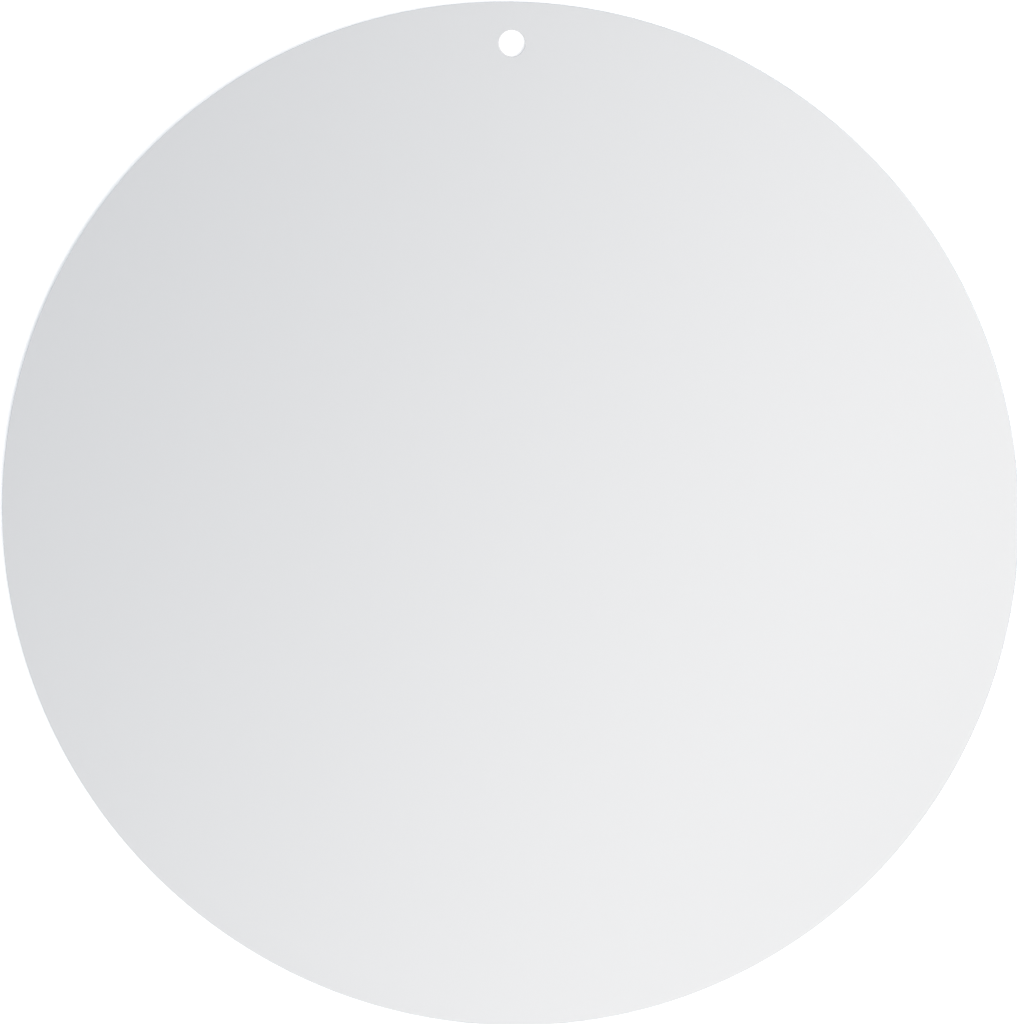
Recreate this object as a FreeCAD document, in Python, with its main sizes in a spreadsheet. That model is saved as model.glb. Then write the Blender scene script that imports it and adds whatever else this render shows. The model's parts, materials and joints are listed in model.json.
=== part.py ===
"""Circle template: a plain round disc cut from thin stiff sheet, with one hanging hole near its rim.

The disc lies flat. +Z is up through the thickness, the origin is the centre of the underside, and the
hanging hole is on the +Y side. Sizes are in millimetres.

The template is one piece of sheet. Its rim is the edge that a pencil or a knife runs round, so the
disc's diameter is the size of the circle that it draws. Both faces are the same, so it works either
way up.
"""

import FreeCAD, Part
import math
import os

import Sketcher

# The driving sizes. Each becomes a named cell of the sheet "Sizes", and the features are bound to it.
SIZES = {
    "disc_diameter": 254.0,  # across the rim: the circle that the template draws
    "sheet_thickness": 1.5,  # the stock that the disc is cut from
    "hole_diameter": 6.5,  # the hanging hole, for a peg or a hook
    "hole_inset": 10.3,  # from the rim in to the centre of the hanging hole
    "rim_radius": 0.15,  # the rounding of the rim's two edges
    "hole_chamfer": 0.15,  # the break at each mouth of the hanging hole
}

# How far off a length in mm, or a volume as a share of itself, may be and still count as the same.
LENGTH_TOLERANCE = 1e-4
VOLUME_TOLERANCE = 1e-3


def make_sizes(doc):
    """The spreadsheet of driving sizes: one row each, with its name beside its value."""
    sheet = doc.addObject("Spreadsheet::Sheet", "Sizes")
    for row, (name, value) in enumerate(SIZES.items(), start=1):
        sheet.set(f"A{row}", name)
        sheet.set(f"B{row}", str(value))
        sheet.setAlias(f"B{row}", name)
    doc.recompute()
    return sheet


def add_sketch(body, name, plane_role):
    """An empty sketch on one of the body's own origin planes."""
    plane = next(p for p in body.Origin.OriginFeatures if p.Role == plane_role)
    sketch = body.newObject("Sketcher::SketchObject", name)
    sketch.AttachmentSupport = (plane, [""])
    sketch.MapMode = "FlatFace"
    return sketch


def add_circle(sketch, diameter, height=None):
    """A circle on the sketch's Y axis. Its diameter, and its centre's height, are expressions.

    With no height, the circle is centred on the sketch's origin.
    """
    normal = FreeCAD.Vector(0, 0, 1)
    circle = sketch.addGeometry(Part.Circle(FreeCAD.Vector(0, 1, 0), normal, 1.0))
    centre = (circle, 3)
    origin = (-1, 1)
    y_axis = -2
    if height is None:
        sketch.addConstraint(Sketcher.Constraint("Coincident", *centre, *origin))
    else:
        sketch.addConstraint(Sketcher.Constraint("PointOnObject", *centre, y_axis))
        rise = sketch.addConstraint(Sketcher.Constraint("DistanceY", *origin, *centre, 1.0))
        sketch.setExpression(f"Constraints[{rise}]", height)
    across = sketch.addConstraint(Sketcher.Constraint("Diameter", circle, 2.0))
    sketch.setExpression(f"Constraints[{across}]", diameter)


def round_edges(feature, diameter):
    """The names of the feature's edges that are circles of this diameter."""
    names = []
    for number, edge in enumerate(feature.Shape.Edges, start=1):
        if not isinstance(edge.Curve, Part.Circle):
            continue
        if abs(2 * edge.Curve.Radius - diameter) < LENGTH_TOLERANCE:
            names.append(f"Edge{number}")
    return names


def make_disc(doc, sheet):
    """The disc: sheet cut round, then drilled, then its hole chamfered and its rim rounded."""
    body = doc.addObject("PartDesign::Body", "template_disc")
    body.Label = "template_disc"
    body.Placement = FreeCAD.Placement(FreeCAD.Vector(0, 0, 0), FreeCAD.Rotation())

    rim_sketch = add_sketch(body, "rim_outline", "XY_Plane")
    add_circle(rim_sketch, "Sizes.disc_diameter")
    blank = body.newObject("PartDesign::Pad", "round_blank")
    blank.Profile = rim_sketch
    blank.setExpression("Length", "Sizes.sheet_thickness")
    doc.recompute()

    # The sketch lies on the underside, so the pocket is reversed to run up through the sheet.
    hole_sketch = add_sketch(body, "hanging_hole_outline", "XY_Plane")
    add_circle(hole_sketch, "Sizes.hole_diameter", "Sizes.disc_diameter / 2 - Sizes.hole_inset")
    drilled = body.newObject("PartDesign::Pocket", "hanging_hole")
    drilled.Profile = hole_sketch
    drilled.Type = "ThroughAll"
    drilled.Reversed = True
    doc.recompute()

    chamfered = body.newObject("PartDesign::Chamfer", "hole_mouths")
    chamfered.Base = (drilled, round_edges(drilled, sheet.hole_diameter))
    chamfered.setExpression("Size", "Sizes.hole_chamfer")
    doc.recompute()

    rounded = body.newObject("PartDesign::Fillet", "rim_edges")
    rounded.Base = (chamfered, round_edges(chamfered, sheet.disc_diameter))
    rounded.setExpression("Radius", "Sizes.rim_radius")
    doc.recompute()
    return body


def check_document(doc):
    """Stops the build if any object of the document failed to compute."""
    for item in doc.Objects:
        if "Invalid" in item.State or "Error" in item.State:
            raise RuntimeError(f"{item.Name} did not compute: {item.State}")


def check_disc(body, sheet):
    """Stops the build unless the disc is one valid solid and the drill went right through it."""
    shape = body.Shape
    if shape.isNull() or not shape.isValid() or len(shape.Solids) != 1:
        raise RuntimeError(f"{body.Label} is not one valid solid")
    drilled_out = body.getObject("round_blank").Shape.Volume - body.getObject("hanging_hole").Shape.Volume
    core = math.pi / 4 * sheet.hole_diameter**2 * sheet.sheet_thickness
    if abs(drilled_out - core) > VOLUME_TOLERANCE * core:
        raise RuntimeError(f"the hanging hole took {drilled_out:.2f} mm3 away, not {core:.2f}")


def write_step(body):
    """Writes the body's shape to parts/, under its label, and prints its size."""
    os.makedirs("parts", exist_ok=True)
    body.Shape.exportStep(f"parts/{body.Label}.step")
    box = body.Shape.optimalBoundingBox()
    print(f"{body.Label}: {box.XLength:.3f} x {box.YLength:.3f} x {box.ZLength:.3f} mm")
    print(f"{body.Label}: {body.Shape.Volume:.0f} mm3")


def main():
    doc = FreeCAD.newDocument("circle_template")
    sheet = make_sizes(doc)
    disc = make_disc(doc, sheet)
    check_document(doc)
    check_disc(disc, sheet)
    write_step(disc)


main()
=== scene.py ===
import json
import math

import bmesh
import bpy
from mathutils import Matrix, Vector


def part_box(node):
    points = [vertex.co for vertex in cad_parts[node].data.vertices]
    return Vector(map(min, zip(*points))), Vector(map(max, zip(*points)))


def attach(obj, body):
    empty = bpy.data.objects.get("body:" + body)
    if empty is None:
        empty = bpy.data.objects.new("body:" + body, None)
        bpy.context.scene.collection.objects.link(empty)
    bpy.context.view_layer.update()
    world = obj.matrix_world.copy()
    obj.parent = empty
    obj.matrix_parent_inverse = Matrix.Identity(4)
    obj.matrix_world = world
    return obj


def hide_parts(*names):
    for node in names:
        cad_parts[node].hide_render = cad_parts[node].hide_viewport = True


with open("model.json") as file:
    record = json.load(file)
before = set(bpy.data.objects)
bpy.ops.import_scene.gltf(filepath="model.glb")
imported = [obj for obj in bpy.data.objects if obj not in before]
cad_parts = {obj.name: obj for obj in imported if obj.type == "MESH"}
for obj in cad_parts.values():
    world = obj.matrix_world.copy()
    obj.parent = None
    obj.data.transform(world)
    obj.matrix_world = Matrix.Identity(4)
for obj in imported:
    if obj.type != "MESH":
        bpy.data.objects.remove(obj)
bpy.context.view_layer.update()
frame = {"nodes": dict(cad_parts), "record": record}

print("frame loaded:", ", ".join(frame["nodes"]))

# the disc's own sizes, in metres, as the design gives them
discLow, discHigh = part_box("template_disc")
discRadius = (discHigh.x - discLow.x) / 2
sheetThickness = discHigh.z - discLow.z
hangingHole = next(m for m in frame["record"]["mounts"] if m["name"] == "hanging_hole")
holeCentre = Vector((hangingHole["pos_m"][0], hangingHole["pos_m"][1], 0))
holeRadius = hangingHole["dims"]["r_mm"] / 1000
holeChamfer = (sheetThickness - hangingHole["dims"]["length_mm"] / 1000) / 2


class Wire:
    # one output socket in a material's nodes; a sum or product of wires adds its Math node
    def __init__(self, tree, socket=None):
        self.tree = tree
        self.socket = socket

    def node(self, kind, settings=None, inputs=None, output=0):
        made = self.tree.nodes.new(kind)
        for name, value in (settings or {}).items():
            setattr(made, name, value)
        for name, value in (inputs or {}).items():
            if isinstance(value, Wire):
                self.tree.links.new(value.socket, made.inputs[name])
            else:
                made.inputs[name].default_value = value
        return Wire(self.tree, made.outputs[output] if made.outputs else None)

    def maths(self, operation, first, second=0.0, clamp=False):
        settings = {"operation": operation, "use_clamp": clamp}
        return self.node("ShaderNodeMath", settings, {0: first, 1: second})

    def clamped(self):
        return self.maths("ADD", self, 0.0, clamp=True)

    def __add__(self, other):
        return self.maths("ADD", self, other)

    def __radd__(self, other):
        return self.maths("ADD", other, self)

    def __sub__(self, other):
        return self.maths("SUBTRACT", self, other)

    def __rsub__(self, other):
        return self.maths("SUBTRACT", other, self)

    def __mul__(self, other):
        return self.maths("MULTIPLY", self, other)

    def __rmul__(self, other):
        return self.maths("MULTIPLY", other, self)

    def __truediv__(self, other):
        return self.maths("DIVIDE", self, other)

    def __abs__(self):
        return self.maths("ABSOLUTE", self)


def startMaterial(name):
    material = bpy.data.materials.new(name)
    material.use_nodes = True
    material.node_tree.nodes.clear()
    start = Wire(material.node_tree)
    place = start.node("ShaderNodeTexCoord", output="Object")
    return material, place


def finishMaterial(start, colour, roughness, height, depth):
    bump = start.node("ShaderNodeBump", None, {"Height": height, "Distance": depth})
    shader = start.node("ShaderNodeBsdfPrincipled", None, {
        "Base Color": colour,
        "Roughness": roughness,
        "Normal": bump,
        "IOR": plastic["ior"],
    })
    start.node("ShaderNodeOutputMaterial", None, {"Surface": shader})


def speckle(place, size, detail=2.0, stretch=(1, 1, 1), turn=0.0, shift=0.0):
    # soft random spots, each about `size` metres across, drawn out by `stretch`
    moved = place.node("ShaderNodeMapping", None, {
        "Location": (shift, shift, shift),
        "Rotation": (0, 0, turn),
        "Scale": tuple(1 / (size * s) for s in stretch),
    })
    return place.node("ShaderNodeTexNoise", None, {"Vector": moved, "Scale": 1.0, "Detail": detail})


def mixColours(share, first, second):
    # the sockets go by number, because the node has an A and a B for each kind of value
    inputs = {0: share, 6: first, 7: second}
    return share.node("ShaderNodeMix", {"data_type": "RGBA"}, inputs, output=2)


def distanceFrom(place, centre):
    # how far a point is from an upright line through `centre`, in metres
    flat = place.node("ShaderNodeVectorMath", {"operation": "MULTIPLY"}, {0: place, 1: (1, 1, 0)})
    ends = {0: flat, 1: tuple(centre)}
    return place.node("ShaderNodeVectorMath", {"operation": "DISTANCE"}, ends, output="Value")


# the plastic itself, which the faces and the drilled wall show as it is
plastic = {
    "ior": 1.49,
    "colour": (0.673, 0.680, 0.698, 1),
    "denser": (0.663, 0.671, 0.691, 1),  # where the sheet is a shade cloudier
    "cloudSize": 0.05,
    "cloudContrast": 2,
}

# the two flat faces
sheetLook = {
    "roughness": 0.38,
    "roughnessSpread": 0.06,
    "grainSize": 0.0004,
    "grainDepth": 0.0000015,
    "hairlineWidth": 0.00012,
    "hairlineLength": 0.09,
    "hairlineGap": 12,  # how far apart they lie, in widths
    "hairlineSharpness": 60,
    "hairlineTurns": (0.35, 1.3, 2.45),  # which way each set of hairlines runs, in radians
    "hairlineShine": 0.07,  # how much smoother a hairline is than the satin round it
    "hairlineCut": 0.6,  # how deep it is, as a share of grainDepth
    "patchSize": 0.03,  # the hairlines come in patches
    "patchSharpness": 12,
    "bareShare": 0.56,  # the higher, the fewer the patches
    "handledBand": 0.006,  # how far in from an edge handling has smoothed the satin
    "handledShine": 0.06,
}


def hairlines(place, turn, look):
    # long thin lines that all run one way and come and go
    stretch = (look["hairlineLength"] / look["hairlineWidth"], look["hairlineGap"], 1)
    wander = speckle(place, look["hairlineWidth"], 0.0, stretch, turn, shift=turn)
    line = (1 - abs(wander - 0.5) * look["hairlineSharpness"]).clamped()
    patches = speckle(place, look["patchSize"], 1.0, turn=turn, shift=3 * turn)
    here = ((patches - look["bareShare"]) * look["patchSharpness"]).clamped()
    return line * here


def satinSheet():
    material, place = startMaterial("satin_sheet")
    clouds = speckle(place, plastic["cloudSize"], 3.0)
    grain = speckle(place, sheetLook["grainSize"], 3.0)
    lines = sum((hairlines(place, turn, sheetLook) for turn in sheetLook["hairlineTurns"][1:]),
                hairlines(place, sheetLook["hairlineTurns"][0], sheetLook))
    fromRim = discRadius - distanceFrom(place, Vector())
    fromHole = distanceFrom(place, holeCentre) - holeRadius
    nearest = place.maths("MINIMUM", fromRim, fromHole)
    handled = (1 - nearest / sheetLook["handledBand"]).clamped()
    roughness = (sheetLook["roughness"] + (clouds - 0.5) * sheetLook["roughnessSpread"]
                 - handled * handled * sheetLook["handledShine"] - lines * sheetLook["hairlineShine"])
    cloudy = (clouds * plastic["cloudContrast"] - 0.5).clamped()
    colour = mixColours(cloudy, plastic["colour"], plastic["denser"])
    height = grain - lines * sheetLook["hairlineCut"]
    finishMaterial(place, colour, roughness, height, sheetLook["grainDepth"])
    return material


# the cut edge, where the cutter ran round
rimLook = {
    "colour": (0.645, 0.675, 0.705, 1),  # painted shade: the cut edge is the face's plastic painted darker and cooler, for the deeper look of light passing through the sheet's edge
    "denser": (0.57, 0.605, 0.64, 1),
    "roughness": 0.34,
    "roughnessSpread": 0.2,
    "strokeSize": 0.00022,
    "strokeLength": 40,  # in stroke sizes
    "strokeDepth": 0.000006,
    "waveSize": 0.006,
    "waveLength": 4,  # in wave sizes
    "roughMix": (0.6, 0.4),  # how much the strokes and the waves each count for
    "denserMix": (0.5, 0.3),
}


def trimmedRim():
    material, place = startMaterial("trimmed_rim")
    # upright lines left by the cutter's teeth, and the slower waves of its run
    strokes = speckle(place, rimLook["strokeSize"], 2.0, (1, 1, rimLook["strokeLength"]))
    waves = speckle(place, rimLook["waveSize"], 1.0, (1, 1, rimLook["waveLength"]))
    rough, denser = (strokes * ofStrokes + waves * ofWaves
                     for ofStrokes, ofWaves in (rimLook["roughMix"], rimLook["denserMix"]))
    roughness = rimLook["roughness"] + (rough - 0.5) * rimLook["roughnessSpread"]
    # painted shade: both of the rim's colours are darker and cooler than the face's plastic
    colour = mixColours(denser, rimLook["colour"], rimLook["denser"])
    finishMaterial(place, colour, roughness, strokes, rimLook["strokeDepth"])
    return material


# the drilled wall and its two chamfers
holeLook = {
    "roughness": 0.5,
    "roughnessSpread": 0.2,
    "ringSize": 0.00012,
    "ringLength": 30,  # in ring sizes
    "ringDepth": 0.000006,
}


def drilledWall():
    material, place = startMaterial("drilled_wall")
    # level rings left by the drill
    stretch = (holeLook["ringLength"], holeLook["ringLength"], 1)
    rings = speckle(place, holeLook["ringSize"], 2.0, stretch)
    roughness = holeLook["roughness"] + (rings - 0.5) * holeLook["roughnessSpread"]
    colour = mixColours(rings, plastic["colour"], plastic["denser"])
    finishMaterial(place, colour, roughness, rings, holeLook["ringDepth"])
    return material


# the disc as a mesh
discShape = {
    "steps": 384,  # points round the rim, and as many round the hole
    "rings": 24,  # rings of faces between the hole and the rim
    "rimRound": 0.00015,  # the rounding of the rim's two edges
    "rimRoundSteps": 6,
    "sharpAngle": math.radians(30),
    "closeEnough": 0.000001,  # two heights or radii this close are the same
    "flatEnough": 0.999,  # how upright the normal of a flat face is
}


def levelRing(bm, centre, radius):
    # the edges of the two level circles of this radius, one on each face of the sheet
    def onCircle(vert):
        return abs((vert.co.xy - centre.xy).length - radius) < discShape["closeEnough"]

    def level(edge):
        return abs(edge.verts[0].co.z - edge.verts[1].co.z) < discShape["closeEnough"]

    return [e for e in bm.edges if level(e) and onCircle(e.verts[0]) and onCircle(e.verts[1])]


def makeDisc():
    bm = bmesh.new()
    bmesh.ops.create_circle(bm, segments=discShape["steps"], radius=discRadius)
    bmesh.ops.create_circle(bm, segments=discShape["steps"], radius=holeRadius,
                            matrix=Matrix.Translation(holeCentre))
    outlines = bm.edges[:]
    bmesh.ops.bridge_loops(bm, edges=outlines)
    spokes = [e for e in bm.edges if e not in outlines]
    bmesh.ops.subdivide_edges(bm, edges=spokes, cuts=discShape["rings"] - 1, use_grid_fill=True)
    lifted = bmesh.ops.extrude_face_region(bm, geom=bm.faces[:], use_keep_orig=True)["geom"]
    bmesh.ops.translate(bm, verts=[g for g in lifted if isinstance(g, bmesh.types.BMVert)],
                        vec=(0, 0, sheetThickness))
    bmesh.ops.recalc_face_normals(bm, faces=bm.faces[:])
    bmesh.ops.bevel(bm, geom=levelRing(bm, Vector(), discRadius), offset=discShape["rimRound"],
                    segments=discShape["rimRoundSteps"], profile=0.5, affect="EDGES", material=-1)
    bmesh.ops.bevel(bm, geom=levelRing(bm, holeCentre, holeRadius), offset=holeChamfer,
                    segments=1, profile=0.5, affect="EDGES", material=-1)

    faceSlot, rimSlot, holeSlot = 0, 1, 2
    for face in bm.faces:
        face.smooth = True
        if abs(face.normal.z) > discShape["flatEnough"]:
            face.material_index = faceSlot
        elif (face.calc_center_median().xy - holeCentre.xy).length < 2 * holeRadius:
            face.material_index = holeSlot
        else:
            face.material_index = rimSlot

    mesh = bpy.data.meshes.new("round_template")
    bm.to_mesh(mesh)
    bm.free()
    mesh.set_sharp_from_angle(angle=discShape["sharpAngle"])
    disc = bpy.data.objects.new("round_template", mesh)
    bpy.context.collection.objects.link(disc)
    for material in (satinSheet(), trimmedRim(), drilledWall()):
        mesh.materials.append(material)
    flatten = disc.modifiers.new("level_faces", "WEIGHTED_NORMAL")  # keeps the faces flat up to the rounding
    flatten.keep_sharp = True
    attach(disc, "root")
    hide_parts("template_disc")
    print("disc made:", len(mesh.polygons), "faces")
    return disc


makeDisc()


# the pale sweep that the disc lies on, and the light round it
studio = {
    "flatRadius": 3.0,  # where the floor starts to curve up
    "curveRadius": 1.2,
    "curveSteps": 12,
    "sweepSteps": 96,  # points round it
    "wallHeight": 0.8,  # above the curve
    "gapUnderDisc": 0.0001,  # so that the disc and the floor don't share a plane
    "paper": (0.92, 0.92, 0.92, 1),
    "glow": 0.34,  # painted light: the paper glows though it is no lamp, a little at the disc, where it fills the disc's shadow, more where the softbox doesn't reach, to even out the floor, and least at the wall
    "openGlow": 0.85,  # more where the softbox doesn't reach,
    "wallGlow": 0.16,  # and least at the wall
    "glowRises": (0.12, 0.75),  # from where to where it changes, out from the middle
    "glowFalls": (0.9, 4.0),
    "roomColour": (0.86, 0.925, 1.0, 1),
    "roomLight": 0.478,
}

softbox = {
    "size": (0.257, 1.327),
    "height": 0.35,
    "reach": 0.132,  # from over the disc's centre to over the softbox's
    "direction": math.radians(-25.6),  # of that reach, from +X towards +Y
    "tip": math.radians(34),  # leaned back towards the disc
    "power": 2.7,
    "colour": (1.0, 0.952, 0.884),
}


def sweepPaper():
    material, place = startMaterial("sweep_paper")
    out = distanceFrom(place, Vector())
    rises, falls = (((out - start) / (end - start)).clamped()
                    for start, end in (studio["glowRises"], studio["glowFalls"]))
    near, far, wall = ((studio[name],) * 3 + (1,) for name in ("glow", "openGlow", "wallGlow"))
    glow = mixColours(falls, mixColours(rises, near, far), wall)
    shader = place.node("ShaderNodeBsdfPrincipled", None, {
        "Base Color": studio["paper"],
        "Roughness": 1.0,
        "Specular IOR Level": 0.0,
        # painted light: the paper's own glow, which fills the disc's shadow, lights the rim and the hole's
        # wall from below, and evens out the floor
        "Emission Color": glow,
        "Emission Strength": 1.0,
    })
    place.node("ShaderNodeOutputMaterial", None, {"Surface": shader})
    return material


def makeSweep():
    bm = bmesh.new()
    floorHeight = discLow.z - studio["gapUnderDisc"]
    bmesh.ops.create_circle(bm, cap_ends=True, segments=studio["sweepSteps"], radius=studio["flatRadius"],
                            matrix=Matrix.Translation((0, 0, floorHeight)))
    edge = bm.edges[:]
    rings = []
    for step in range(1, studio["curveSteps"] + 1):
        turn = math.pi / 2 * step / studio["curveSteps"]
        rings.append((studio["flatRadius"] + studio["curveRadius"] * math.sin(turn),
                      floorHeight + studio["curveRadius"] * (1 - math.cos(turn))))
    rings.append((rings[-1][0], rings[-1][1] + studio["wallHeight"]))
    radius, height = studio["flatRadius"], floorHeight
    for nextRadius, nextHeight in rings:
        pulled = bmesh.ops.extrude_edge_only(bm, edges=edge)["geom"]
        verts = [g for g in pulled if isinstance(g, bmesh.types.BMVert)]
        edge = [g for g in pulled if isinstance(g, bmesh.types.BMEdge)]
        grow = nextRadius / radius
        bmesh.ops.scale(bm, verts=verts, vec=(grow, grow, 1))
        bmesh.ops.translate(bm, verts=verts, vec=(0, 0, nextHeight - height))
        radius, height = nextRadius, nextHeight
    for face in bm.faces:
        face.smooth = True
    mesh = bpy.data.meshes.new("sweep")
    bm.to_mesh(mesh)
    bm.free()
    sweep = bpy.data.objects.new("sweep", mesh)
    bpy.context.collection.objects.link(sweep)
    mesh.materials.append(sweepPaper())


def makeLights():
    world = bpy.data.worlds.new("pale_room")
    world.use_nodes = True
    background = world.node_tree.nodes["Background"].inputs
    background["Color"].default_value = studio["roomColour"]
    background["Strength"].default_value = studio["roomLight"]
    bpy.context.scene.world = world

    lamp = bpy.data.lights.new("softbox", "AREA")
    lamp.shape = "RECTANGLE"
    lamp.size, lamp.size_y = softbox["size"]
    lamp.energy = softbox["power"]
    lamp.color = softbox["colour"]
    box = bpy.data.objects.new("softbox", lamp)
    turned = Matrix.Rotation(softbox["direction"], 4, "Z")
    place = Matrix.Translation((softbox["reach"], 0, softbox["height"]))
    box.matrix_world = turned @ place @ Matrix.Rotation(softbox["tip"], 4, "Y")
    box.visible_camera = False
    bpy.context.collection.objects.link(box)


# the camera looks down on the disc from a little to one side, with the hanging hole at the top
view = {
    "lens": 250.0,
    "sensor": 36.0,
    "tilt": math.radians(9.54),  # off straight down
    "tiltTowards": math.radians(31.2),  # counted from +X towards +Y
    "roll": math.radians(0.78),
    "aim": (0.00069, 0.00107),  # the point of the disc in the middle of the picture
    "fill": 0.9968,  # half the picture's height, as a share of the disc's radius
}


def makeCamera():
    camera = bpy.data.cameras.new("camera")
    camera.lens = view["lens"]
    camera.sensor_width = view["sensor"]
    back = Vector((math.sin(view["tilt"]) * math.cos(view["tiltTowards"]),
                   math.sin(view["tilt"]) * math.sin(view["tiltTowards"]),
                   math.cos(view["tilt"])))
    right = Vector((0, 1, 0)).cross(back).normalized()
    level = Matrix((right, back.cross(right), back)).transposed()
    rolled = (level @ Matrix.Rotation(view["roll"], 3, "Z")).to_4x4()
    distance = view["fill"] * discRadius * view["lens"] / (view["sensor"] / 2)
    target = Vector((*view["aim"], discHigh.z / 2))
    holder = bpy.data.objects.new("camera", camera)
    holder.matrix_world = Matrix.Translation(target + back * distance) @ rolled
    bpy.context.collection.objects.link(holder)
    bpy.context.scene.camera = holder


makeSweep()
makeLights()
makeCamera()
bpy.context.scene.view_settings.view_transform = "Standard"
print("studio ready")
